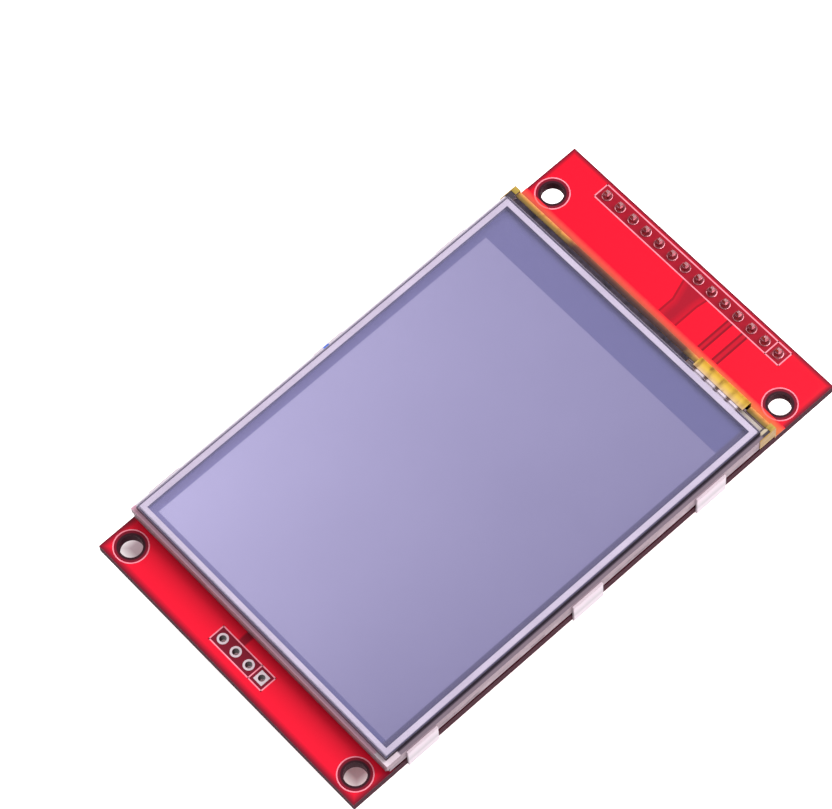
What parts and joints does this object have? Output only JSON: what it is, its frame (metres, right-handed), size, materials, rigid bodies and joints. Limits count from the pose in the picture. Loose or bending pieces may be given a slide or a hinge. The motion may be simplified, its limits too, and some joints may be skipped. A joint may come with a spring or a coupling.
{
  "type": "tft display module",
  "caption": "Colour liquid crystal display with a resistive touch panel on a red carrier board, with a pin header and a card socket on the back.",
  "frame": {"origin": "centre of the pattern of four mounting holes, on the back face of the board", "axes": "+X across the board, +Y along it towards the pin header end, +Z out of the display's face"},
  "size_m": [0.0506, 0.086, 0.0142],
  "materials": {
    "board_mask": "glossy solder mask",
    "tinned": "tinned copper",
    "solder": "satin solder",
    "gold_plate": "gold plated",
    "black_plastic": "matte moulded",
    "ivory_plastic": "matte moulded",
    "white_plastic": "satin moulded",
    "stainless": "satin sheet",
    "chip_black": "matte moulded",
    "resistor_black": "glazed film",
    "capacitor_tan": "matte ceramic",
    "white_foam": "foam tape",
    "white_film": "matte film",
    "clear_acrylic": "clear polished",
    "prism_film": "satin film",
    "diode": "phosphor fill",
    "polyimide": "amber film",
    "black_film": "matte tape",
    "polarizer": "gloss film",
    "cell_glass": "polished",
    "chip_silicon": "polished",
    "touch_film": "gloss film",
    "amber_film": "gloss film"
  },
  "bodies": {
    "root": {"board": "board_mask", "row_pads": "tinned", "header_pads": "tinned", "header_solder": "solder", "header_pins": "gold_plate", "header_bar": "black_plastic", "socket_base": "ivory_plastic", "socket_shell": "stainless", "socket_contacts": "gold_plate", "touch_controller": "chip_black", "touch_controller_leads": "tinned", "regulator": "chip_black", "regulator_leads": "tinned", "backlight_transistor": "chip_black", "transistor_leads": "tinned", "resistors": "resistor_black", "resistor_ends": "tinned", "capacitors": "capacitor_tan", "capacitor_ends": "tinned", "foam_tape": "white_foam", "steel_tray": "stainless", "light_frame": "white_plastic", "reflector": "white_film", "light_guide": "clear_acrylic", "diffuser": "white_film", "lower_prism_sheet": "prism_film", "upper_prism_sheet": "prism_film", "led_strip": "polyimide", "leds": "diode", "rim_tape": "black_film", "lower_polarizer": "polarizer", "array_glass": "cell_glass", "colour_glass": "cell_glass", "upper_polarizer": "polarizer", "driver_chip": "chip_silicon", "display_flex": "polyimide", "flex_solder": "solder", "shelf_tape": "black_film", "panel_tape": "white_film", "touch_glass": "cell_glass", "touch_spacer": "white_film", "touch_film": "touch_film", "touch_tail": "polyimide", "tail_conductors": "tinned", "amber_tape": "amber_film", "side_tapes": "white_film"}
  },
  "joints": []
}
